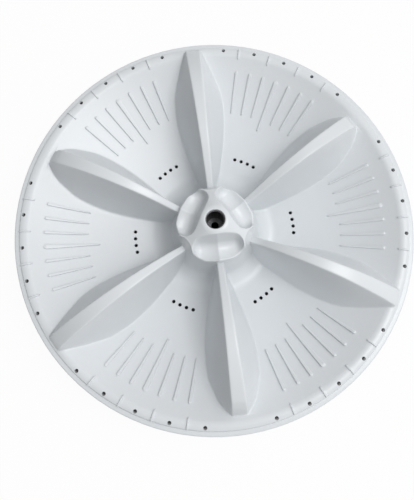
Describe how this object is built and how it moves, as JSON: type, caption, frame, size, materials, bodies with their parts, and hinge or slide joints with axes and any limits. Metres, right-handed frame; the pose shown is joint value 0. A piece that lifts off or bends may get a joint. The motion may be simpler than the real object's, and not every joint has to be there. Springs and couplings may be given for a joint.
{
  "type": "washing machine pulsator",
  "caption": "Round dished washing machine pulsator: hollow wedge vanes rise from a scooped hub, drain holes and grip ribs between them, splined bush below.",
  "frame": {"origin": "on the turning axis, in the plane of the standing ring and boss under the disc", "axes": "+Z along the turning axis, out of the washing side; -Y is the front; the first short vane lies 40 degrees from +X"},
  "size_m": [0.34, 0.34, 0.0707],
  "materials": {
    "moulding": "satin moulded polypropylene, cool light grey",
    "bush_metal": "dark sintered steel with turned faces"
  },
  "bodies": {
    "root": {"pulsator": "moulding", "spline_bush": "bush_metal"}
  },
  "joints": []
}
